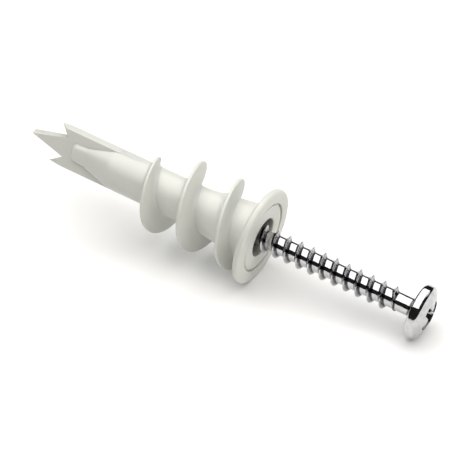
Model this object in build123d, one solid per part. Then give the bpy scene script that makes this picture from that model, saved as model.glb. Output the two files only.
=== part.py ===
# Self-drilling plasterboard anchor with its pan-head screw started in the mouth.
# Two pieces: a nylon anchor moulded in one, and a steel tapping screw.
# Each piece is modelled standing on its own axis, +Z from the cutting point towards the screw head.
# The pair is then laid down as it rests on a table: on the flange rim and the rim of the screw head,
# with the cutting point in the air. Millimetres, +Z up, +X from the cutting point to the screw head.

import os
from math import asin, cos, radians, sin, tan

from build123d import *

os.makedirs("parts", exist_ok=True)

# Anchor sizes. Depths are measured back from the flange face.
flange_radius = 7.5
flange_thickness = 1.1
flange_edge_chamfer = 0.3
step_radius = 5.5
step_depth = 0.45
socket_radius = 3.25
socket_depth = 1.5
neck_radius = 4.55
neck_chamfer = 0.5
flare_end_depth = 10.5
shank_radius = 3.2
shank_end_depth = 25.3
anchor_length = 40.7

# Cross-shaped driver recess below the socket, narrowing with depth.
recess_depth = 9.0
recess_wing_width = 1.5
recess_wing_radius = 3.1
recess_wing_end_radius = 2.3

# Pilot bore that the screw cuts its thread in.
pilot_radius = 1.35
pilot_end_depth = 29.5

# Webs that run from the shank on to both faces of the blade: a cone, then a blunt nose.
web_cone_length = 5.2
web_nose_radius = 1.6
web_nose_length = 2.7
web_nose_chamfer = 0.7

# Flat cutting blade with a centre point and two spurs. On each face the teeth on one side of the
# centre have their cutting edge, and those on the other side are relieved, as on a spade drill.
blade_width = 6.3
blade_thickness = 1.8
blade_turn = -17.0
blade_root_depth = 22.0
blade_corner_radius = 3.24
blade_fade_length = 3.5
notch_depth = 34.6
notch_offset = 1.6
notch_relief = 0.3
spur_corner_depth = 34.5
spur_tip_depth = 36.7
spur_tip_offset = 2.95
spur_relief = 1.7
relief_spread = 0.13
point_lead = 0.2

# Coarse flight, right-handed.
flight_pitch = 6.6
flight_radius = 6.6
flight_crest_width = 0.5
flight_flank_angle = 13.0
flight_foot_width = 2.7
flight_foot_height = 0.5
flight_start_depth = 23.0
flight_full_depth = 15.6
flight_start_radius = 3.05
flight_end_depth = 0.6
flight_zero_depth = 12.6
points_per_turn = 12

# Screw sizes. Lengths are measured down from the underside of the head.
head_radius = 4.1
head_side_height = 1.2
head_corner_height = 0.46
head_corner_inset = 0.27
dome_rise = 0.94
screw_length = 32.0
thread_radius = 2.0
root_radius = 1.35
screw_pitch = 1.95
thread_half_angle = 32.0
neck_length = 2.2
taper_length = 5.0
thread_start_length = 1.0
thread_start_radius = 0.95
run_out_turns = 0.6
thread_overlap = 0.15
screw_point_radius = 0.12
cross_wing_span = 4.5
cross_wing_width = 1.15
cross_depth = 1.9
cross_slope = 26.5
cross_turn = 8.44

# Fit of the screw in the mouth.
crest_clearance = 0.15
screw_shown = 24.9
screw_lean = -0.3
screw_turn = -34.0

# Depth of the tiny flat, about 1 mm wide, where each rim touches the table. It stands for the
# unevenness that stops the real pair from rolling, which two perfect circles would not have.
rest_flat_depth = 0.02

# Overlap that makes joined volumes cross rather than just touch.
overlap = 0.4

# Sphere of the domed head, which starts inside the bevelled corner.
head_height = head_side_height + head_corner_height + dome_rise
dome_edge_radius = head_radius - head_corner_inset
dome_radius = (dome_edge_radius**2 + dome_rise**2) / (2 * dome_rise)
dome_slope = asin(dome_edge_radius / dome_radius)


def helix_point(radius, angle, height):
    """A point at a polar angle in degrees."""
    return Vector(radius * cos(radians(angle)), radius * sin(radians(angle)), height)


def solid_of_revolution(outline):
    """Closed outline of (radius, height) points turned round the axis."""
    face = make_face(Polyline(*[(r, 0, z) for r, z in outline], close=True).edges())
    return revolve(face, Axis.Z)


def circles_of_radius(shape, radius):
    """Full-circle edges of one radius."""
    circles = shape.edges().filter_by(GeomType.CIRCLE)
    return circles.filter_by(lambda edge: abs(edge.radius - radius) < 1e-6)


def anchor_core():
    """Body of revolution: flange, flared neck, shank, cone and nose of the webs."""
    web_cone_end_depth = shank_end_depth + web_cone_length
    web_nose_end_depth = web_cone_end_depth + web_nose_length
    outline = [
        (0, 0),
        (flange_radius, 0),
        (flange_radius, -flange_thickness),
        (neck_radius, -flange_thickness),
        (shank_radius, -flare_end_depth),
        (shank_radius, -shank_end_depth),
        (web_nose_radius, -web_cone_end_depth),
        (web_nose_radius, -web_nose_end_depth + web_nose_chamfer),
        (web_nose_radius - web_nose_chamfer, -web_nose_end_depth),
        (0, -web_nose_end_depth),
    ]
    core = solid_of_revolution(outline)
    core = chamfer(circles_of_radius(core, flange_radius), flange_edge_chamfer)
    return chamfer(circles_of_radius(core, neck_radius), neck_chamfer)


def sweep_ridge(path_points, section):
    """Sweep a ridge section, given as outward and along-axis steps from its crest, along a spiral."""
    first = path_points[0]
    outward = Vector(first.X, first.Y, 0).normalized()
    plane = Plane(origin=first, x_dir=outward, z_dir=outward.cross(Vector(0, 0, 1)))
    face = plane * make_face(Polyline(*section, close=True).edges())
    return sweep(face, path=Spline(*path_points), is_frenet=True)


def flight():
    """Coarse right-handed flight: it eases out of the shank, becomes a helix and ends in the flange."""
    drop = flight_start_depth - flight_end_depth
    steps = round(drop / flight_pitch * points_per_turn)
    path_points = []
    for i in range(steps + 1):
        depth = flight_start_depth - drop * i / steps
        angle = 360 * (flight_zero_depth - depth) / flight_pitch
        share = min((flight_start_depth - depth) / (flight_start_depth - flight_full_depth), 1.0)
        eased = share * share * (3 - 2 * share)
        radius = flight_start_radius + (flight_radius - flight_start_radius) * eased
        path_points.append(helix_point(radius, angle, -depth))
    height = flight_radius - shank_radius
    half_crest = flight_crest_width / 2
    half_root = half_crest + (height - flight_foot_height) * tan(radians(flight_flank_angle))
    half_foot = flight_foot_width / 2
    section = [
        (0, -half_crest),
        (0, half_crest),
        (-(height - flight_foot_height), half_root),
        (-height, half_foot),
        (-height - overlap, half_foot),
        (-height - overlap, -half_foot),
        (-height, -half_foot),
        (-(height - flight_foot_height), -half_root),
    ]
    return sweep_ridge(path_points, section)


def blade_face(back):
    """One face of the blade: the back cuts on the +X side of the centre, the front on the -X side."""
    half = blade_width / 2
    cutting = [
        (half, -blade_root_depth),
        (half, -spur_corner_depth),
        (spur_tip_offset, -spur_tip_depth),
        (notch_offset, -notch_depth),
        (point_lead, -anchor_length),
    ]
    relieved = [
        (notch_offset + relief_spread, -notch_depth + notch_relief),
        (spur_tip_offset + relief_spread, -spur_tip_depth + spur_relief),
        (half, -spur_corner_depth),
        (half, -blade_root_depth),
    ]
    outline = cutting + [(-x, z) for x, z in relieved]
    if back:
        corners = [(x, -blade_thickness / 2, z) for x, z in outline]
    else:
        corners = [(-x, blade_thickness / 2, z) for x, z in reversed(outline)]
    return make_face(Polyline(*corners, close=True).edges())


def blade():
    """Flat blade with a centre point between two spurs, straight from each face's outline to the other's."""
    plate = loft([blade_face(True), blade_face(False)], ruled=True)
    trim = solid_of_revolution([
        (0, -blade_root_depth),
        (shank_radius, -blade_root_depth),
        (blade_corner_radius, -blade_root_depth - blade_fade_length),
        (blade_corner_radius, -anchor_length),
        (0, -anchor_length),
    ])
    return (plate & trim).rotate(Axis.Z, blade_turn)


def driver_recess():
    """Four tapering wings below the round socket."""
    wings = []
    for k in range(4):
        outline = [
            (0, 0),
            (recess_wing_radius, 0),
            (recess_wing_end_radius, -recess_depth),
            (0, -recess_depth),
        ]
        face = make_face(Polyline(*[(x, 0, z) for x, z in outline], close=True).edges())
        wing = extrude(face, amount=recess_wing_width / 2, dir=(0, 1, 0), both=True)
        wings.append(wing.rotate(Axis.Z, blade_turn + 90 * k))
    return wings


def build_anchor():
    body = anchor_core() + blade() + flight()
    above = flange_thickness
    step = solid_of_revolution([(0, above), (step_radius, above), (step_radius, -step_depth), (0, -step_depth)])
    socket = solid_of_revolution([(0, 0), (socket_radius, 0), (socket_radius, -socket_depth), (0, -socket_depth)])
    throat = thread_radius + crest_clearance
    bore = solid_of_revolution([
        (0, 0),
        (throat, 0),
        (throat, -recess_depth),
        (pilot_radius, -recess_depth - (throat - pilot_radius)),
        (pilot_radius, -pilot_end_depth),
        (0, -pilot_end_depth),
    ])
    body = body - step - socket - bore
    for wing in driver_recess():
        body = body - wing
    return body.solid()


def screw_head():
    """Pan head: straight side, bevelled corner and low domed top."""
    half_way = dome_slope / 2
    dome_edge = (dome_edge_radius, 0, head_side_height + head_corner_height)
    middle = (dome_radius * sin(half_way), 0, head_height - dome_radius * (1 - cos(half_way)))
    side = Polyline((0, 0, 0), (head_radius, 0, 0), (head_radius, 0, head_side_height), dome_edge)
    dome = ThreePointArc(dome_edge, middle, (0, 0, head_height))
    back = Line((0, 0, head_height), (0, 0, 0))
    return revolve(make_face(side.edges() + dome.edges() + back.edges()), Axis.Z)


def cross_cut():
    """Cross recess: two crossed wedges that narrow with depth."""
    top = head_height + overlap
    reach = tan(radians(cross_slope)) * cross_depth
    cuts = []
    for k in range(2):
        top_half = cross_wing_span / 2 + tan(radians(cross_slope)) * overlap
        low_half = cross_wing_span / 2 - reach
        outline = [(-top_half, top), (top_half, top), (low_half, head_height - cross_depth)]
        outline.append((-low_half, head_height - cross_depth))
        face = make_face(Polyline(*[(x, 0, z) for x, z in outline], close=True).edges())
        wedge = extrude(face, amount=cross_wing_width / 2, dir=(0, 1, 0), both=True)
        cuts.append(wedge.rotate(Axis.Z, 90 * k))
    return cuts


def thread_section():
    """V section from its crest inwards, a little deeper than the root surface."""
    height = thread_radius - root_radius + thread_overlap
    half_foot = height * tan(radians(thread_half_angle))
    return [(0, 0), (-height, half_foot), (-height, -half_foot)]


def thread_end(low, high, low_radius, high_radius):
    """Stretch of thread whose crest radius changes between two heights above the screw point."""
    steps = round((high - low) / screw_pitch * points_per_turn)
    path_points = []
    for i in range(steps + 1):
        up = low + (high - low) * i / steps
        radius = low_radius + (high_radius - low_radius) * i / steps
        angle = screw_turn + 360 * (up - taper_length) / screw_pitch
        path_points.append(helix_point(radius, angle, up - screw_length))
    return sweep_ridge(path_points, thread_section())


def screw_thread():
    """Coarse right-handed V thread: it grows along the taper, runs straight and fades below the head."""
    top = screw_length - neck_length
    straight_top = top - screw_pitch * run_out_turns
    path = Helix(pitch=screw_pitch, height=straight_top - taper_length, radius=thread_radius)
    plane = Plane(origin=(thread_radius, 0, 0), x_dir=(1, 0, 0), z_dir=(0, -1, 0))
    face = plane * make_face(Polyline(*thread_section(), close=True).edges())
    straight = sweep(face, path=path, is_frenet=True)
    straight = straight.rotate(Axis.Z, screw_turn).moved(Location((0, 0, taper_length - screw_length)))
    lower = thread_end(thread_start_length, taper_length, thread_start_radius, thread_radius)
    upper = thread_end(straight_top, top, thread_radius, root_radius - thread_overlap)
    return [straight, lower, upper]


def build_screw():
    root = solid_of_revolution([
        (0, overlap),
        (root_radius, overlap),
        (root_radius, -screw_length + taper_length),
        (screw_point_radius, -screw_length),
        (0, -screw_length),
    ])
    head = screw_head()
    for cut in cross_cut():
        head = head - cut
    body = head.rotate(Axis.Z, cross_turn) + root
    for ridge in screw_thread():
        body = body + ridge
    return body.solid()


def rim_drop(rim_radius, along, tilt):
    """Drop of the lowest rim point below the axis at the mouth, for an axis falling at a tilt."""
    turn = radians(tilt)
    return along * sin(turn) + rim_radius * cos(turn)


def resting_tilt():
    """Fall of the screw axis at which flange rim and head rim touch the table together."""
    low = 0.0
    high = 20.0
    for _ in range(40):
        tilt = (low + high) / 2
        flange_drop = rim_drop(flange_radius, -flange_edge_chamfer, tilt + screw_lean)
        head_drop = rim_drop(head_radius, screw_shown + head_side_height, tilt)
        if head_drop < flange_drop:
            low = tilt
        else:
            high = tilt
    return tilt, flange_drop - rest_flat_depth


screw_tilt, mouth_height = resting_tilt()
anchor_tilt = screw_tilt + screw_lean


def axis_plane(tilt):
    """Plane at the mouth whose normal is the axis falling towards +X and whose x points up."""
    turn = radians(tilt)
    return Plane(
        origin=(0, 0, mouth_height),
        x_dir=(sin(turn), 0, cos(turn)),
        z_dir=(cos(turn), 0, -sin(turn)),
    )


def rested(piece):
    """Take off the sliver below the table, which leaves the tiny flat on the rim."""
    size = piece.bounding_box().size
    under = Box(2 * size.X, 2 * size.Y, overlap, align=(Align.CENTER, Align.CENTER, Align.MAX))
    middle = piece.bounding_box().center()
    return (piece - under.moved(Location((middle.X, middle.Y, 0)))).solid()


anchor = rested(axis_plane(anchor_tilt).location * build_anchor())
screw = rested((axis_plane(screw_tilt).location * Location((0, 0, screw_shown))) * build_screw())

# The frame's origin is below the middle of the pair's box.
point_end = anchor.bounding_box().min.X
head_end = screw.bounding_box().max.X
to_middle = Location((-(point_end + head_end) / 2, 0, 0))
anchor = to_middle * anchor
screw = to_middle * screw

export_step(anchor, "parts/anchor_body.step")
export_step(screw, "parts/screw.step")
print("screw tilt", round(screw_tilt, 3), "anchor tilt", round(anchor_tilt, 3))
print("mouth at x", round(to_middle.position.X, 3), "z", round(mouth_height, 3))
for name, piece in (("anchor_body", anchor), ("screw", screw)):
    box = piece.bounding_box()
    print(name, "valid", piece.is_valid, "volume", round(piece.volume, 1), "low", round(box.min.Z, 3), box)
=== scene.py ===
# %% [markdown]
# A self-drilling plasterboard anchor lies on a pale table with its screw started in the mouth.
# The anchor is one nylon moulding: cutting blade, hollow shank, coarse flight and stepped flange.
# The screw is bright zinc-plated steel with a pan head and a cross recess.
# This lesson builds both as clean meshes inside the fixed CAD frame, then finishes, lights and frames them.

# %% Load the fixed frame
import math

import bmesh
import bpy
from mathutils import Matrix, Vector


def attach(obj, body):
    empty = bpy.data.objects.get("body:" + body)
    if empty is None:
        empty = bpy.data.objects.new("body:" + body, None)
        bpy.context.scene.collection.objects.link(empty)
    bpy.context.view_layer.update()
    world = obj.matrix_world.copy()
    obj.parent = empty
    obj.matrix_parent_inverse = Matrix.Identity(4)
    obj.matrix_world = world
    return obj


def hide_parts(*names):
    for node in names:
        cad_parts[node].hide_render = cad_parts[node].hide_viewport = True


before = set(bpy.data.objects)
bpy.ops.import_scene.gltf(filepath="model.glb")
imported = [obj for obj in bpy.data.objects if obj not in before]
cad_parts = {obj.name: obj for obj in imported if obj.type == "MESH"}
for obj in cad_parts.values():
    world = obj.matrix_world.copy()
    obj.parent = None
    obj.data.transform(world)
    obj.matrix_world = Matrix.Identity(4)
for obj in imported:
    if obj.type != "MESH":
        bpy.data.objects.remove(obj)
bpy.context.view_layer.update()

# %% [markdown]
# Both pieces are turned or moulded round an axis, so each is drawn in millimetres on its own axis:
# height 0 is the flange face or the underside of the head, and the cutting point is below.
# A matrix then lays the piece down as it rests, on the flange rim and the rim of the head.
# Working on the axis keeps every size readable, and the matrix is the only place where the pose enters.

# %% Where the two axes lie
mouth = Vector((6.535, 0.0, 7.386))
anchor_fall = 7.053
screw_fall = 7.353
screw_shown = 24.9


def laid_down(fall, along):
    """Matrix from a piece's own axis to the table, for an axis that falls towards +X."""
    turn = math.radians(fall)
    up = Vector((math.sin(turn), 0.0, math.cos(turn)))
    axis = Vector((math.cos(turn), 0.0, -math.sin(turn)))
    side = axis.cross(up)
    place = mouth + axis * along
    rows = [(up[i], side[i], axis[i], place[i]) for i in range(3)]
    return Matrix.Scale(0.001, 4) @ Matrix((*rows, (0, 0, 0, 1)))


anchor_place = laid_down(anchor_fall, 0.0)
screw_place = laid_down(screw_fall, screw_shown)
print("flange face centre in mm", [round(v * 1000, 2) for v in anchor_place.translation])

# %% [markdown]
# A lathe profile on a drawing has rounded corners, because a mould or a die can't make a sharp one.
# Each corner is written as radius, height and rounding, and an arc is fitted there.
# The highlights that make a moulding look real sit in exactly these small arcs.

# %% Round the corners of a profile


def rounded(corners, steps=6):
    """Points of a profile whose corners (radius, height, rounding) are turned into arcs."""
    points = []
    for i, (x, y, rounding) in enumerate(corners):
        here = Vector((x, y))
        if rounding == 0 or i in (0, len(corners) - 1):
            points.append(here)
            continue
        back = (Vector(corners[i - 1][:2]) - here).normalized()
        ahead = (Vector(corners[i + 1][:2]) - here).normalized()
        half = back.angle(ahead) / 2
        centre = here + (back + ahead).normalized() * rounding / math.sin(half)
        first = (here + back * rounding / math.tan(half) - centre).normalized()
        last = (here + ahead * rounding / math.tan(half) - centre).normalized()
        points += [centre + first.slerp(last, k / steps) * rounding for k in range(steps + 1)]
    return points


def clamped(value):
    """Value held between 0 and 1."""
    return min(max(value, 0.0), 1.0)


print("a rounded square corner has", len(rounded([(0, 0, 0), (1, 0, 0.2), (1, 1, 0)])), "points")

# %% [markdown]
# A turned body, a flight and a thread are all rows of points with quads between neighbours.
# Spin and Screw tools make such grids too, but only from a section that never changes.
# Rows that are worked out one by one can grow, narrow and change shape on the way.

# %% Join rows of points into a closed grid


def turned_rows(profile, angles):
    """One ring of points for each profile point."""
    return [[(p.x * math.cos(a), p.x * math.sin(a), p.y) for a in angles] for p in profile]


def add_grid(bm, rows):
    """Quads between rings of points, with a cap on the first ring and on the last."""
    made = [[bm.verts.new(p) for p in row] for row in rows]
    count = len(made[0])
    for low, high in zip(made, made[1:]):
        for i in range(count):
            j = (i + 1) % count
            bm.faces.new((low[i], low[j], high[j], high[i]))
    bm.faces.new(made[0])
    bm.faces.new(made[-1])


post = bmesh.new()
add_grid(post, turned_rows([Vector((1, 0)), Vector((1, 1))], [math.radians(90 * k) for k in range(4)]))
print("a square post has", len(post.verts), "points and", len(post.faces), "faces")
post.free()

# %% [markdown]
# A driver recess is a round hole with four wings. Its outline is walked once as a ring of points,
# so the same ring can shrink and sink to make the walls. The polar angles of that ring are used again
# for every ring of the turned body, which lets one closed grid run from the outside into the recess.

# %% Outline of a four-winged opening
arc_steps = 9
side_steps = 3
tip_steps = 6


def winged_ring(wing_radius, wing_half, throat, turn):
    """Points round an opening: throat arcs between four wings with rounded tips."""
    root = math.asin(wing_half / throat)
    corner = math.asin(min(wing_half / wing_radius, 1.0))
    quarter = []
    for k in range(arc_steps):
        angle = -math.pi / 4 + (math.pi / 4 - root) * k / arc_steps
        quarter.append((throat * math.cos(angle), throat * math.sin(angle)))
    for k in range(side_steps):
        start = throat * math.cos(root)
        end = wing_radius * math.cos(corner)
        quarter.append((start + (end - start) * k / side_steps, -wing_half))
    for k in range(tip_steps // 2):
        angle = -corner + corner * k / (tip_steps // 2)
        quarter.append((wing_radius * math.cos(angle), wing_radius * math.sin(angle)))
    mirrored = [(x, -y) for x, y in reversed(quarter)]
    quarter = quarter + [(wing_radius, 0.0)] + mirrored[:-1]
    points = []
    for k in range(4):
        angle = math.radians(turn + 90 * k)
        cosine = math.cos(angle)
        sine = math.sin(angle)
        points += [(x * cosine - y * sine, x * sine + y * cosine) for x, y in quarter]
    return points


print("points in one ring", len(winged_ring(3.1, 0.75, 2.15, 0)))

# %% [markdown]
# The body of the anchor is the turned part of the moulding: a blunt web nose, a cone, the shank,
# a flare into the neck and the flange with its rounded rim. A thin ring shows in the flange's face,
# so the profile has a narrow groove there and a very shallow step inside it.
# All lengths are measured down from the flange's face.

# %% Sizes of the anchor's turned body
blade_turn = -17.0
flange_radius = 7.498
flange_thickness = 1.1
rim_rounding = 0.42
step_radius = 5.5
step_depth = 0.10
groove_depth = 0.45
groove_width = 0.34
groove_draft = 0.02
socket_radius = 3.05
socket_depth = 2.6
socket_draft = 0.05
socket_floor_radius = 2.95
neck_radius = 4.55
flare_end_depth = 10.5
shank_radius = 3.2
shank_end_depth = 25.3
web_cone_end_depth = 30.5
web_nose_radius = 1.6
web_nose_depth = 33.2
web_nose_draft = 0.1
recess_depth = 9.0
recess_wing_half = 0.75
recess_throat = 2.15
recess_wing = 2.9
recess_taper = 0.6
print("anchor's shank and flange in mm", 2 * shank_radius, 2 * flange_radius)

# %% [markdown]
# The webs that carry the blade are round where they leave the shank and grow boxy towards the nose.
# A circle becomes such a section when its exponent rises from 2, as in a superellipse,
# so each ring is pushed out a little towards its corners, in line with the flat blade.

# %% Square the webs towards the nose
web_squaring_length = 3.0
web_squareness = 1.2


def boxed(x, y, depth):
    """Point of a ring with its section squared towards the blade's face, more so towards the nose."""
    power = 2.0 + web_squareness * clamped((depth - shank_end_depth) / web_squaring_length)
    angle = math.atan2(y, x) - math.radians(blade_turn)
    grow = (abs(math.cos(angle)) ** power + abs(math.sin(angle)) ** power) ** (-1 / power)
    return x * grow, y * grow, -depth


print("exponent at the nose", 2.0 + web_squareness)

# %% [markdown]
# One closed grid holds the whole turned body. It starts in the nose of the webs, climbs the shank,
# turns over the flange and carries on down the round socket and into the cross-shaped driver recess.
# The mouth is a real hole, so it darkens by itself and the screw can stand in it.

# %% Turned body of the anchor


def anchor_body_grid(bm):
    """Closed grid from the nose of the webs, over the flange and down into the driver recess."""
    opening = winged_ring(recess_wing, recess_wing_half, recess_throat, blade_turn)
    angles = [math.atan2(y, x) for x, y in opening]
    groove_inside = step_radius - groove_width
    corners = [
        (0.02, -web_nose_depth, 0),
        (web_nose_radius - web_nose_draft, -web_nose_depth, 0.8),
        (web_nose_radius, -web_cone_end_depth, 2.0),
        (shank_radius, -shank_end_depth, 6.0),
        (shank_radius, -flare_end_depth, 8.0),
        (neck_radius, -flange_thickness, 0.7),
        (flange_radius, -flange_thickness, rim_rounding),
        (flange_radius, 0.0, rim_rounding),
        (step_radius, 0.0, 0.08),
        (step_radius - groove_draft, -groove_depth, 0.06),
        (groove_inside, -groove_depth, 0.06),
        (groove_inside, -step_depth, 0.08),
        (socket_radius, -step_depth, 0.12),
        (socket_radius - socket_draft, -socket_depth, 0.1),
        (socket_floor_radius, -socket_depth, 0),
    ]
    rows = [[boxed(x, y, -z) for x, y, z in row] for row in turned_rows(rounded(corners), angles)]
    rows.append([(x, y, -socket_depth) for x, y in opening])
    for share in (0.02, 0.3, 0.6, 1.0):
        depth = socket_depth + (recess_depth - socket_depth) * share
        wing = recess_wing - recess_taper * share
        ring = winged_ring(wing, recess_wing_half, recess_throat, blade_turn)
        rows.append([(x, y, -depth) for x, y in ring])
    add_grid(bm, rows)


anchor_bm = bmesh.new()
anchor_body_grid(anchor_bm)
print("anchor body faces", len(anchor_bm.faces))

# %% [markdown]
# The coarse flight is a thin blade of nylon wound round the shank. It could be a Screw modifier,
# but the real one grows out of the shank over a turn and its root is filleted into a flaring neck,
# so a section is computed at each step: a rounded crest, a flank at 13 degrees and a root fillet
# that starts on whatever radius the body has at that depth.

# %% Section of the flight
flank_slope = math.tan(math.radians(13.0))
crest_rounding = 0.13
crest_steps = 4
flank_steps = 3
root_fillet = 0.8
fillet_lift = 0.715
fillet_from = 77
fillet_sweep = 57
fillet_steps = 6
toe_reach = 0.4
toe_sinks = (0.15, 0.5)


def ridge_section(height, crest):
    """Outline of a ridge as (above the body, along the axis), from one foot over the crest to the other."""
    half = [(height, 0.0), (height, crest - crest_rounding)]
    for k in range(1, crest_steps + 1):
        angle = math.radians(90 * k / crest_steps)
        above = height - crest_rounding * (1 - math.cos(angle))
        half.append((above, crest - crest_rounding * (1 - math.sin(angle))))
    fillet = min(root_fillet, height)
    flank_top = height - crest_rounding
    for k in range(1, flank_steps + 1):
        above = flank_top + (fillet_lift * fillet - flank_top) * k / flank_steps
        half.append((above, crest + (flank_top - above) * flank_slope))
    above, along = half[-1]
    step = fillet * math.radians(fillet_sweep) / fillet_steps
    for k in range(1, fillet_steps + 1):
        slope = math.radians(fillet_from - fillet_sweep * (k - 0.5) / fillet_steps)
        above -= step * math.sin(slope)
        along += step * math.cos(slope)
        half.append((above, along))
    half += [(above - sink, along + toe_reach) for sink in toe_sinks]
    return [(a, -b) for a, b in reversed(half[1:])] + half


print("points in one section", len(ridge_section(3.0, 0.25)))

# %% [markdown]
# The section is now carried along the spiral. Its crest radius eases out from the shank,
# its foot follows the flare of the neck, and its upper side stops inside the flange,
# because the moulding closes there without a gap.

# %% Wind the flight
flight_pitch = 6.6
flight_radius = 6.6
flight_zero_depth = 12.6
flight_start_depth = 23.0
flight_full_depth = 15.6
flight_start_radius = 3.05
flight_end_depth = 0.75
flight_cover = 0.7
least_height = 0.16
crest_half = 0.25
crest_half_at_start = 0.14


def body_radius(depth):
    """Radius of the anchor's shank or flare at a depth."""
    share = (flare_end_depth - depth) / (flare_end_depth - flange_thickness)
    return shank_radius + (neck_radius - shank_radius) * max(share, 0.0)


def flight_rows(steps_per_turn=90):
    """Sections of the flight, one for each step of its spiral."""
    drop = flight_start_depth - flight_end_depth
    steps = round(drop / flight_pitch * steps_per_turn)
    rows = []
    for i in range(steps + 1):
        depth = flight_start_depth - drop * i / steps
        angle = math.radians(360 * (flight_zero_depth - depth) / flight_pitch)
        share = min((flight_start_depth - depth) / (flight_start_depth - flight_full_depth), 1.0)
        eased = share * share * (3 - 2 * share)
        top = flight_start_radius + (flight_radius - flight_start_radius) * eased
        crest = crest_half_at_start + (crest_half - crest_half_at_start) * share
        foot = body_radius(depth)
        height = max(top - foot, least_height)
        sink = min(top - foot - height, 0.0)
        row = []
        for above, along in ridge_section(height, crest):
            radius = foot + above + sink
            level = min(along - depth, -flight_cover)
            row.append((radius * math.cos(angle), radius * math.sin(angle), level))
        rows.append(row)
    return rows


add_grid(anchor_bm, flight_rows())
print("anchor faces with the flight", len(anchor_bm.faces))

# %% [markdown]
# The cutting blade is a flat plate with a long centre point between two short spurs.
# Like a spade drill, each face has its cutting edges on one side of the centre, and its other side
# is relieved, so the two faces have mirrored outlines and the teeth run straight between them.

# %% Outline of the cutting blade
blade_half_width = 3.15
blade_root = [(2.9, -20.5), (3.08, -22.0), (3.13, -25.5), (blade_half_width, -27.5)]
point_depth = 40.7
point_lead = 0.2
spur_corner_depth = 34.5
spur_tip_depth = 36.7
spur_tip_offset = 2.95
spur_relief = 1.7
notch_depth = 34.6
notch_offset = 1.6
notch_relief = 0.3
relief_spread = 0.13


def blade_outline():
    """Outline of the back face: cutting edges first, from the root to the point, then the relieved side."""
    corner = (blade_half_width, -spur_corner_depth)
    tip = (spur_tip_offset, -spur_tip_depth)
    notch = (notch_offset, -notch_depth)
    relieved_tip = (spur_tip_offset + relief_spread, -spur_tip_depth + spur_relief)
    relieved_notch = (notch_offset + relief_spread, -notch_depth + notch_relief)
    cutting = blade_root + [corner, tip, notch, (point_lead, -point_depth)]
    relieved = [relieved_notch, relieved_tip, corner] + blade_root[::-1]
    return cutting + [(-x, z) for x, z in relieved]


print("points in the blade's outline", len(blade_outline()))

# %% [markdown]
# The plate is two outlines with walls between them. All edges are eased with a small bevel,
# because an edge left razor sharp catches no light. Towards the centre point the plate thins,
# as a chisel does, which gives the tip its slim look from the side.

# %% Build the cutting blade
blade_half_thickness = 0.9
blade_easing = 0.09
easing_steps = 3
easing_from_angle = 30
chisel_depth = 37.2
chisel_end = 0.55


def add_blade(bm):
    """Plate with three points, turned to its place on the shank."""
    outline = blade_outline()
    mirrored = [(-x, z) for x, z in reversed(outline)]
    plate = bmesh.new()
    low = [plate.verts.new((x, -blade_half_thickness, z)) for x, z in outline]
    high = [plate.verts.new((x, blade_half_thickness, z)) for x, z in mirrored]
    plate.faces.new(low)
    plate.faces.new(high)
    for i in range(len(low)):
        j = (i + 1) % len(low)
        plate.faces.new((low[i], low[j], high[j], high[i]))
    bmesh.ops.recalc_face_normals(plate, faces=plate.faces)
    sharp = math.radians(easing_from_angle)
    rims = [e for e in plate.edges if e.is_manifold and e.calc_face_angle() > sharp]
    bmesh.ops.bevel(
        plate, geom=rims, offset=blade_easing, segments=easing_steps, profile=0.5, affect="EDGES")
    for vert in plate.verts:
        share = max(-vert.co.z - chisel_depth, 0.0) / (point_depth - chisel_depth)
        vert.co.y *= 1.0 - (1.0 - chisel_end) * share
    turn = Matrix.Rotation(math.radians(blade_turn), 4, "Z")
    bmesh.ops.transform(plate, matrix=turn, verts=plate.verts)
    flat = bpy.data.meshes.new("blade_plate")
    plate.to_mesh(flat)
    bm.from_mesh(flat)
    plate.free()
    bpy.data.meshes.remove(flat)


add_blade(anchor_bm)
print("anchor faces with the blade", len(anchor_bm.faces))

# %% [markdown]
# A finished mesh becomes a piece in one place: faces point outwards, curved areas are smooth,
# real edges stay crisp, the matrix lays it down, and it rides on the body that the frame gives.
# The two rims that touch the table are pressed level with it, by a few hundredths of a millimetre.

# %% Turn a mesh into a piece


def make_piece(name, bm, place, node, crisp):
    """Object that stands for a CAD node and rides on the frame's root body."""
    bmesh.ops.recalc_face_normals(bm, faces=bm.faces)
    mesh = bpy.data.meshes.new(name)
    bm.to_mesh(mesh)
    bm.free()
    mesh.transform(place)
    for vert in mesh.vertices:
        vert.co.z = max(vert.co.z, 0.0)
    mesh.shade_smooth()
    mesh.set_sharp_from_angle(angle=math.radians(crisp))
    piece = bpy.data.objects.new(name, mesh)
    bpy.context.scene.collection.objects.link(piece)
    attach(piece, "root")
    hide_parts(node)
    triangles = sum(len(p.vertices) - 2 for p in mesh.polygons)
    print(name, "triangles", triangles)
    return piece


anchor = make_piece("anchor_moulding", anchor_bm, anchor_place, "anchor_body", crisp=38.0)

# %% [markdown]
# Light that enters a narrow hole in pale nylon hardly comes out again, so the real bore looks dark.
# Here that shade is painted: an attribute on the points tells the material where the bore is, and the colour
# is darkened there. It is worked out from each point's place on the piece's own axis, so it stays with the
# mesh.

# %% Mark the bore's painted shade
# Depths in millimetres over which the painted shade in the bore fades in.
bore_shade_from = 0.7
bore_shade_length = 0.9
bore_margin = 0.02
bore_floor_margin = 0.1


def mark(piece, place, label, share_at):
    """Point attribute from a rule that takes the radius and height on the piece's own axis."""
    layer = piece.data.attributes.new(label, "FLOAT", "POINT")
    home = place.inverted()
    for vert in piece.data.vertices:
        spot = home @ vert.co
        layer.data[vert.index].value = share_at(math.hypot(spot.x, spot.y), spot.z)
    return sum(1 for item in layer.data if item.value > 0)


def bore_painted_shade_share(radius, height):
    """Share of painted shade: 0 at the socket's rim and outside the socket, 1 down in the bore."""
    if radius >= socket_radius + bore_margin or -height >= recess_depth + bore_floor_margin:
        return 0.0
    return clamped((-height - bore_shade_from) / bore_shade_length)


print("points down in the bore", mark(anchor, anchor_place, "bore", bore_painted_shade_share))

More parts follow.
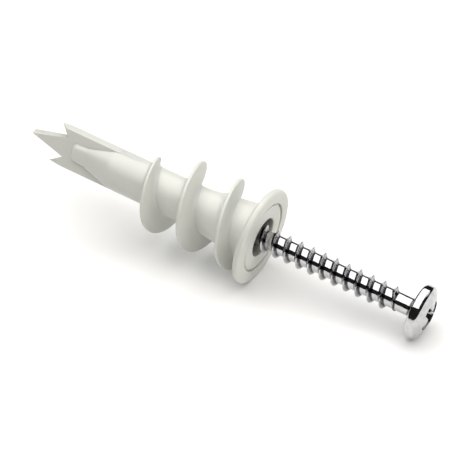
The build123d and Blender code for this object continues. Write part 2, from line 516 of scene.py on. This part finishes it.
# %% [markdown]
# The screw is cold-headed wire with a rolled thread. Lengths are measured from the underside
# of its head: the head is above, the shank below. A mirror finish shows every rounding,
# so the head's two rims and the fillet under it have named radii of their own.

# %% Sizes of the screw's turned part
head_radius = 4.095
head_side_height = 1.48
head_height = 2.588
corner_rounding = 0.46
under_rounding = 0.50
neck_fillet = 0.85
screw_length = 32.0
point_radius = 0.12
thread_radius = 2.0
root_radius = 1.35
taper_length = 5.0
dome_steps = 16
dome_rings = range(15, 10, -1)
dome_rise = head_height - head_side_height
dome_radius = (head_radius ** 2 + dome_rise ** 2) / (2 * dome_rise)


def dome_height(x, y):
    """Height of the domed top of the head."""
    return head_height - dome_radius + math.sqrt(dome_radius ** 2 - x * x - y * y)


print("dome radius in mm", round(dome_radius, 2))

# %% [markdown]
# The cross recess is a winged ring again. Its edge is eased in four small steps, then its wings
# narrow with depth as the driver's do, and a small floor closes it.
# Walls of a mirror show light or dark by where they face, so the turn of the cross is part of the look.

# %% Walls of the cross recess
cross_turn = 38.0
cross_half_span = 2.25
cross_half_width = 0.66
cross_core = 1.08
cross_depth = 1.9
cross_span_taper = 0.95
cross_width_taper = 0.2
cross_core_taper = 0.3
cross_easing = ((0.10, 0.0), (0.04, 0.015), (0.01, 0.05), (0.0, 0.12))
cross_wall_top = 0.15
cross_floor_drop = 0.25
cross_floor_scale = 0.3


def cross_rows():
    """Rings from the dome down the walls of the cross recess to its floor."""
    rows = []
    for grow, sink in cross_easing:
        ring = winged_ring(cross_half_span + grow, cross_half_width + grow, cross_core + grow, cross_turn)
        rows.append([(x, y, dome_height(x, y) - sink) for x, y in ring])
    for share in (0.35, 0.7, 1.0):
        span = cross_half_span - cross_span_taper * share
        half = cross_half_width - cross_width_taper * share
        ring = winged_ring(span, half, cross_core - cross_core_taper * share, cross_turn)
        depth = cross_wall_top + (cross_depth - cross_wall_top) * share
        rows.append([(x, y, head_height - depth) for x, y in ring])
    floor = head_height - cross_depth - cross_floor_drop
    rows.append([(x * cross_floor_scale, y * cross_floor_scale, floor) for x, y in ring])
    return rows


print("rings in the recess", len(cross_rows()))

# %% [markdown]
# The turned part of the screw is one closed grid, as the anchor's was: from the point up the root
# of the thread, out under the head, round the pan and over the dome, then down into the cross recess.

# %% Turned part of the screw


def screw_grid(bm):
    """Closed grid from the screw's point, over the head and down into the cross recess."""
    opening = winged_ring(cross_half_span, cross_half_width, cross_core, cross_turn)
    angles = [math.atan2(y, x) for x, y in opening]
    corners = [
        (0.01, -screw_length, 0),
        (point_radius, -screw_length, 0.05),
        (root_radius, -screw_length + taper_length, 2.0),
        (root_radius, 0.0, neck_fillet),
        (head_radius, 0.0, under_rounding),
        (head_radius, head_side_height, corner_rounding),
    ]
    slope = math.asin(head_radius / dome_radius)
    reaches = [dome_radius * math.sin(slope * k / dome_steps) for k in dome_rings]
    corners.append((reaches[0], dome_height(reaches[0], 0), 0))
    profile = rounded(corners)
    profile += [Vector((reach, dome_height(reach, 0))) for reach in reaches[1:]]
    add_grid(bm, turned_rows(profile, angles) + cross_rows())


screw_bm = bmesh.new()
screw_grid(screw_bm)
print("screw body faces", len(screw_bm.faces))

# %% [markdown]
# The thread is a V ridge rolled out of the wire, with a narrow rounded crest and wide flat roots.
# It grows along the taper near the point and runs out under the head, so its crest radius
# is a function of height. The section flares where it meets the root, as a rolling die leaves it.

# %% Crest and section of the screw thread
screw_pitch = 1.95
neck_length = 2.2
thread_start_length = 1.0
thread_start_radius = 0.95
run_out_turns = 0.6
run_out_sink = 0.15
thread_flank = math.tan(math.radians(30.0))
crest_width = 0.062
flank_depth = 0.49


def crest_radius(up):
    """Crest radius at a height above the screw's point."""
    top = screw_length - neck_length
    run_out = screw_pitch * run_out_turns
    if up < taper_length:
        share = (up - thread_start_length) / (taper_length - thread_start_length)
        return thread_start_radius + (thread_radius - thread_start_radius) * share
    if up > top - run_out:
        share = (up - top + run_out) / run_out
        return thread_radius - (thread_radius - root_radius + run_out_sink) * share
    return thread_radius


def thread_section():
    """V section as (in from the crest, along the axis), with a rounded crest and a small root flare."""
    foot = crest_width + flank_depth * thread_flank
    crest = [(0.0, 0.0), (0.006, 0.035), (0.03, crest_width)]
    flank = [(0.30, crest_width + 0.27 * thread_flank), (0.52, foot)]
    flare = [(0.62, foot + 0.10), (0.67, foot + 0.22), (0.95, foot + 0.22)]
    half = crest + flank + flare
    return [(a, -b) for a, b in reversed(half[1:])] + half


print("points in the thread's section", len(thread_section()))

# %% [markdown]
# The thread's section follows its own spiral, right-handed like the flight but much finer.
# Geometry is worth its cost here: each turn catches a light and a dark band from the room,
# and a bump in the material could not change the screw's outline.

# %% Roll the thread
screw_turn = -34.0
least_radius = 0.05


def thread_rows(steps_per_turn=64):
    """Sections of the thread along its spiral."""
    low = thread_start_length
    high = screw_length - neck_length
    steps = round((high - low) / screw_pitch * steps_per_turn)
    rows = []
    for i in range(steps + 1):
        up = low + (high - low) * i / steps
        angle = math.radians(screw_turn + 360 * (up - taper_length) / screw_pitch)
        crest = crest_radius(up)
        row = []
        for inward, along in thread_section():
            radius = max(crest - inward, least_radius)
            row.append((radius * math.cos(angle), radius * math.sin(angle), up - screw_length + along))
        rows.append(row)
    return rows


add_grid(screw_bm, thread_rows())
screw = make_piece("pan_head_screw", screw_bm, screw_place, "screw", crisp=50.0)

# %% [markdown]
# The corner where each flank meets the root mirrors little but the thread itself, so it reads as a dark line.
# Mirror rays that bounce once or twice don't draw it strongly enough at this size, so that dark line is
# painted:
# the same marking rule finds these corners by their radius, and the steel's colour is darkened there as
# painted shade.

# %% Mark the painted shade at the roots of the thread
foot_fade_end = 1.85
foot_fade = 0.3
root_margin = 0.02


def root_painted_shade_share(radius, height):
    """Share of painted shade: 1 where a flank meets the root of the thread, fading out towards the crest, 0
    on the head.
    """
    if radius <= root_radius + root_margin or height >= -root_margin:
        return 0.0
    return clamped((foot_fade_end - radius) / foot_fade)


print("points at thread roots", mark(screw, screw_place, "foot", root_painted_shade_share))

# %% [markdown]
# A node group is a small machine with named inputs and outputs that several materials share.
# Both groups of this lesson are made in the same way, so the empty shell comes from one helper.

# %% Shell of a node group


def group_with(name, inputs, outputs):
    """Empty node group with named sockets."""
    tree = bpy.data.node_groups.new(name, "ShaderNodeTree")
    for label, kind, value in inputs:
        socket = tree.interface.new_socket(name=label, in_out="INPUT", socket_type=kind)
        socket.default_value = value
    for label, kind in outputs:
        tree.interface.new_socket(name=label, in_out="OUTPUT", socket_type=kind)
    return tree, tree.nodes.new("NodeGroupInput"), tree.nodes.new("NodeGroupOutput")


print("groups so far", len(bpy.data.node_groups))

# %% [markdown]
# Every surface has a little unevenness: moulded nylon has a fine grain and plated steel a soft ripple.
# Both are noise at a chosen scale, so one group makes it and each material gives the two sizes in
# millimetres. It puts out a height for the Bump node and a slow drift for colour and roughness.

# %% Surface grain group


def grain_group():
    """Fine and coarse unevenness at a scale in millimetres."""
    tree, inside, outside = group_with(
        "Surface Grain",
        [("Grain Size", "NodeSocketFloat", 0.2), ("Drift Size", "NodeSocketFloat", 4.0)],
        [("Height", "NodeSocketFloat"), ("Drift", "NodeSocketFloat")],
    )
    place = tree.nodes.new("ShaderNodeTexCoord")
    for label, out, detail in (("Grain Size", "Height", 3.0), ("Drift Size", "Drift", 2.0)):
        per_metre = tree.nodes.new("ShaderNodeMath")
        per_metre.operation = "DIVIDE"
        per_metre.inputs[0].default_value = 1000.0
        tree.links.new(inside.outputs[label], per_metre.inputs[1])
        noise = tree.nodes.new("ShaderNodeTexNoise")
        noise.inputs["Detail"].default_value = detail
        tree.links.new(place.outputs["Object"], noise.inputs["Vector"])
        tree.links.new(per_metre.outputs[0], noise.inputs["Scale"])
        tree.links.new(noise.outputs["Fac"], outside.inputs[out])
    return tree


grain = grain_group()
print("outputs of the grain", [s.name for s in grain.interface.items_tree if s.in_out == "OUTPUT"])

# %% [markdown]
# No moulding and no plating has one flat colour. The second group mixes two close colours by a mask,
# and the same group later lays a painted dark shade where an attribute asks for it.

# %% Colour drift group


def blend_group():
    """Two colours mixed by a mask."""
    tree, inside, outside = group_with(
        "Colour Drift",
        [
            ("Colour", "NodeSocketColor", (0.8, 0.8, 0.8, 1)),
            ("Second Colour", "NodeSocketColor", (0.7, 0.7, 0.7, 1)),
            ("Mask", "NodeSocketFloat", 0.5),
        ],
        [("Colour", "NodeSocketColor")],
    )
    mix = tree.nodes.new("ShaderNodeMix")
    mix.data_type = "RGBA"
    tree.links.new(inside.outputs["Mask"], mix.inputs["Factor"])
    tree.links.new(inside.outputs["Colour"], mix.inputs["A"])
    tree.links.new(inside.outputs["Second Colour"], mix.inputs["B"])
    tree.links.new(mix.outputs["Result"], outside.inputs["Colour"])
    return tree


drift = blend_group()
print("node groups", [t.name for t in bpy.data.node_groups])

# %% [markdown]
# A material is a Principled shader with the shared groups placed in front of it.
# The same helper wires the grain into a bump, the drift into the colour and a narrow band of roughness.

# %% Material helper
bump_distance = 0.00005


def finish_material(name, colour, second, grain_size, drift_size, bump, rough_low, rough_high):
    """Principled material with grain, colour drift and a band of roughness."""
    mat = bpy.data.materials.new(name)
    mat.use_nodes = True
    nodes, links = mat.node_tree.nodes, mat.node_tree.links
    shader = nodes["Principled BSDF"]
    grain_node = nodes.new("ShaderNodeGroup")
    grain_node.node_tree = grain
    grain_node.inputs["Grain Size"].default_value = grain_size
    grain_node.inputs["Drift Size"].default_value = drift_size
    drift_node = nodes.new("ShaderNodeGroup")
    drift_node.node_tree = drift
    drift_node.inputs["Colour"].default_value = (*colour, 1)
    drift_node.inputs["Second Colour"].default_value = (*second, 1)
    links.new(grain_node.outputs["Drift"], drift_node.inputs["Mask"])
    links.new(drift_node.outputs["Colour"], shader.inputs["Base Color"])
    band = nodes.new("ShaderNodeMapRange")
    band.inputs["To Min"].default_value = rough_low
    band.inputs["To Max"].default_value = rough_high
    links.new(grain_node.outputs["Drift"], band.inputs["Value"])
    links.new(band.outputs["Result"], shader.inputs["Roughness"])
    bump_node = nodes.new("ShaderNodeBump")
    bump_node.inputs["Strength"].default_value = bump
    bump_node.inputs["Distance"].default_value = bump_distance
    links.new(grain_node.outputs["Height"], bump_node.inputs["Height"])
    links.new(bump_node.outputs["Normal"], shader.inputs["Normal"])
    return mat, shader


print("bump distance in mm", bump_distance * 1000)

# %% [markdown]
# The marks made on the meshes come in here. An Attribute node reads the mark, and the colour drift
# group paints a dark shade over whatever colour the material already has there.

# %% Paint shade into a material where a mark says so


def paint_marked_shade(mat, shader, label, shade):
    """Mix a material's base colour towards a painted shade by a point attribute."""
    nodes, links = mat.node_tree.nodes, mat.node_tree.links
    mark_node = nodes.new("ShaderNodeAttribute")
    mark_node.attribute_name = label
    tone = nodes.new("ShaderNodeGroup")
    tone.node_tree = drift
    tone.inputs["Second Colour"].default_value = (*shade, 1)
    plain = shader.inputs["Base Color"].links[0].from_socket
    links.new(mark_node.outputs["Fac"], tone.inputs["Mask"])
    links.new(plain, tone.inputs["Colour"])
    links.new(tone.outputs["Colour"], shader.inputs["Base Color"])


for piece, label in ((anchor, "bore"), (screw, "foot")):
    print(piece.name, "carries the mark", label, label in piece.data.attributes)

# %% [markdown]
# Unfilled nylon is a warm off-white with a satin skin, and light goes a little way into it,
# so thin edges such as the flight's crest glow. A small subsurface weight gives that softness.
# The bore's shade is painted into the colour as a near-black tone, for the little light that reaches it and
# is lost between its walls.

# %% Off-white nylon
nylon, nylon_shader = finish_material(
    "nylon", (0.66, 0.665, 0.62), (0.625, 0.63, 0.59), 0.25, 6.0, 0.25, 0.38, 0.48)
nylon_shader.inputs["Subsurface Weight"].default_value = 0.25
nylon_shader.inputs["Subsurface Radius"].default_value = (1.0, 0.8, 0.6)
nylon_shader.inputs["Subsurface Scale"].default_value = 0.0006
nylon_shader.inputs["IOR"].default_value = 1.5
# Painted shade: the base colour goes to near black down in the bore.
paint_marked_shade(nylon, nylon_shader, "bore", (0.06, 0.06, 0.055))
anchor.data.materials.append(nylon)
print("nylon on", anchor.name)

# %% [markdown]
# Bright zinc plating over rolled steel is a neutral mirror with a little softness.
# Its look comes from what it reflects, so the roughness stays low. A mottle finer than a millimetre
# between a light and a mid grey keeps it from looking like chrome.

# %% Bright zinc-plated steel
steel, steel_shader = finish_material(
    "zinc_plated_steel", (0.72, 0.72, 0.73), (0.38, 0.38, 0.39), 0.5, 0.7, 0.22, 0.05, 0.09)
steel_shader.inputs["Metallic"].default_value = 1.0
# Painted shade: the steel's colour goes dark where a thread's flank meets its root.
paint_marked_shade(steel, steel_shader, "foot", (0.09, 0.09, 0.095))
screw.data.materials.append(steel)
print("steel on", screw.name)

# %% [markdown]
# A white background should not come from more light, since that would wash out the object.
# The Light Path node tells which kind of ray is asking, so a surface can look white to the camera
# and to mirrors, and still light the object only weakly.

# %% Tell rays apart


def seen_mask(tree, kinds):
    """Socket that is 1 for a ray of one of the named kinds and 0 for any other."""
    rays = tree.nodes.new("ShaderNodeLightPath")
    mask = rays.outputs[kinds[0]]
    for kind in kinds[1:]:
        either = tree.nodes.new("ShaderNodeMath")
        either.operation = "MAXIMUM"
        tree.links.new(mask, either.inputs[0])
        tree.links.new(rays.outputs[kind], either.inputs[1])
        mask = either.outputs[0]
    return mask


print("ray mask helper ready")

# %% [markdown]
# The table is a plain white sheet. It takes the real shadow, and for camera and mirror rays
# a little white is added, so that the bare sheet shows as the white that a studio photograph has.

# %% Table
table_radius = 1.2
table_lift = 0.10


def white_sheet():
    """Matt white that looks a little whiter to the camera and to mirrors than it lights."""
    mat = bpy.data.materials.new("white_sheet")
    mat.use_nodes = True
    tree = mat.node_tree
    shader = tree.nodes["Principled BSDF"]
    shader.inputs["Base Color"].default_value = (0.85, 0.85, 0.845, 1)
    shader.inputs["Roughness"].default_value = 0.9
    shader.inputs["Specular IOR Level"].default_value = 0.1
    shader.inputs["Emission Color"].default_value = (1, 1, 1, 1)
    lift = tree.nodes.new("ShaderNodeMath")
    lift.operation = "MULTIPLY"
    lift.inputs[1].default_value = table_lift
    mask = seen_mask(tree, ("Is Camera Ray", "Is Glossy Ray", "Is Transmission Ray"))
    tree.links.new(mask, lift.inputs[0])
    tree.links.new(lift.outputs[0], shader.inputs["Emission Strength"])
    return mat


def add_table():
    """White disc under the object."""
    bm = bmesh.new()
    bmesh.ops.create_circle(bm, cap_ends=True, radius=table_radius, segments=96)
    mesh = bpy.data.meshes.new("table")
    bm.to_mesh(mesh)
    bm.free()
    mesh.materials.append(white_sheet())
    table = bpy.data.objects.new("table", mesh)
    bpy.context.scene.collection.objects.link(table)
    return table


print("table width in m", round(add_table().dimensions.x, 2))

# %% [markdown]
# The room round the table is a pale world. It shows white to the camera and to mirrors,
# and gives only a weak light from all sides, so that the shadows keep their depth.

# %% World
room_light = 0.07
room_white = 1.0
world = bpy.data.worlds.new("pale_room")
bpy.context.scene.world = world
world.use_nodes = True
room = world.node_tree.nodes["Background"]
room.inputs["Color"].default_value = (0.97, 0.985, 1.0, 1)
room_strength = world.node_tree.nodes.new("ShaderNodeMapRange")
room_strength.inputs["To Min"].default_value = room_light
room_strength.inputs["To Max"].default_value = room_white
room_mask = seen_mask(world.node_tree, ("Is Camera Ray", "Is Glossy Ray"))
world.node_tree.links.new(room_mask, room_strength.inputs["Value"])
world.node_tree.links.new(room_strength.outputs["Result"], room.inputs["Strength"])
print("room strength", room_light, "and when seen", room_white)

# %% [markdown]
# The light is plain and soft. A large square lamp hangs straight over the pair and makes the soft
# shadow under it. A small warm one stands far out beyond the screw's head and lights the flange's face,
# which the lamp above only grazes. Mirrors don't see the lamps: the steel gets cards of its own.

# %% Lamps


def add_lamp(name, place, aim, size, watts, colour):
    """Square area lamp that points at a spot and isn't seen by mirrors."""
    data = bpy.data.lights.new(name, "AREA")
    data.size = size
    data.energy = watts
    data.color = colour
    lamp = bpy.data.objects.new(name, data)
    lamp.location = place
    lamp.rotation_euler = (Vector(aim) - Vector(place)).to_track_quat("-Z", "Y").to_euler()
    lamp.visible_glossy = False
    bpy.context.scene.collection.objects.link(lamp)


add_lamp("overhead", (0.0, 0.05, 0.40), (0, 0.05, 0), 0.70, 3.7, (1.0, 0.99, 0.97))
add_lamp("right_fill", (0.48, -0.04, 0.10), (0.006, 0.0, 0.007), 0.30, 0.78, (1.0, 0.97, 0.91))

# %% [markdown]
# A mirror needs something dark to look like metal, as any product studio knows. Dark walls stand
# round the pair, nearest on the side of the screw's head, and draw the black bands on its shank and rim.
# A white sheet lies over the walls as a lid and draws the clear white block on the head.
# Only mirror rays see these cards, so they neither shade the table nor enter the picture.

# %% Cards for the mirror finish
box_height = 0.40
box_left, box_right = -0.36, 0.07
box_front, box_back = -0.34, 0.58
right_wall_end = 0.03
far_right, far_corner = 0.50, 0.25
wall_glow = 0.02
lid_glow = 2.1


def add_mirror_card(name, corners, faces, glow):
    """Flat black cards with an even glow that only mirror rays see."""
    mesh = bpy.data.meshes.new(name)
    mesh.from_pydata(corners, [], faces)
    card = bpy.data.objects.new(name, mesh)
    bpy.context.scene.collection.objects.link(card)
    mat = bpy.data.materials.new(name)
    mat.use_nodes = True
    shader = mat.node_tree.nodes["Principled BSDF"]
    shader.inputs["Base Color"].default_value = (0, 0, 0, 1)
    shader.inputs["Specular IOR Level"].default_value = 0.0
    shader.inputs["Emission Color"].default_value = (1, 1, 1, 1)
    shader.inputs["Emission Strength"].default_value = glow
    mesh.materials.append(mat)
    for ray in ("visible_camera", "visible_diffuse", "visible_shadow", "visible_transmission"):
        setattr(card, ray, False)


front_corners = [(box_left, box_front), (box_right, box_front)]
back_corners = [(far_right, box_back), (box_left, box_back)]
plan = front_corners + [(box_right, right_wall_end), (far_right, far_corner)] + back_corners
count = len(plan)
walls = [(x, y, z) for z in (0.0, box_height) for x, y in plan]
wall_faces = []
for i in range(count):
    j = (i + 1) % count
    wall_faces.append((i, j, j + count, i + count))
add_mirror_card("dark_cards", walls, wall_faces, wall_glow)
lid = [(x, y, box_height) for x, y in front_corners + [(box_right, box_back), (box_left, box_back)]]
add_mirror_card("softbox_face", lid, [(0, 1, 2, 3)], lid_glow)
print("walls round the pair", count)

# %% [markdown]
# The camera looks down at the pair from the front and a little from the screw's side, with a long lens.
# It is placed by the centre of the flange face: how far away it is, and where it falls in the frame.
# A roll of one degree settles the pair in the picture as a camera that isn't quite level would.

# %% Camera
azimuth = math.radians(29.13)
elevation = math.radians(36.87)
roll = math.radians(1.0)
distance = 0.2657
focal_pixels = 1818.0
frame_pixels = 470.0
flange_in_frame = (263.7, 237.8)
level = Vector((math.cos(azimuth), math.sin(azimuth), 0.0))
outward = Vector((math.sin(azimuth), -math.cos(azimuth), 0.0))
backward = outward * math.cos(elevation) + Vector((0.0, 0.0, math.sin(elevation)))
right = level * math.cos(roll) + backward.cross(level) * math.sin(roll)
upward = backward.cross(right)
camera = bpy.data.objects.new("camera", bpy.data.cameras.new("camera"))
bpy.context.scene.collection.objects.link(camera)
bpy.context.scene.camera = camera
camera.data.sensor_width = 36.0
camera.data.lens = focal_pixels / frame_pixels * camera.data.sensor_width
across = (flange_in_frame[0] - frame_pixels / 2) / focal_pixels * distance
down = (flange_in_frame[1] - frame_pixels / 2) / focal_pixels * distance
camera.location = anchor_place.translation + backward * distance - right * across + upward * down
camera.rotation_euler = Matrix((right, upward, backward)).transposed().to_euler()
camera.data.clip_start = 0.01
camera.data.clip_end = 10.0
bpy.context.scene.view_settings.view_transform = "Standard"
print("lens in mm", round(camera.data.lens, 1))
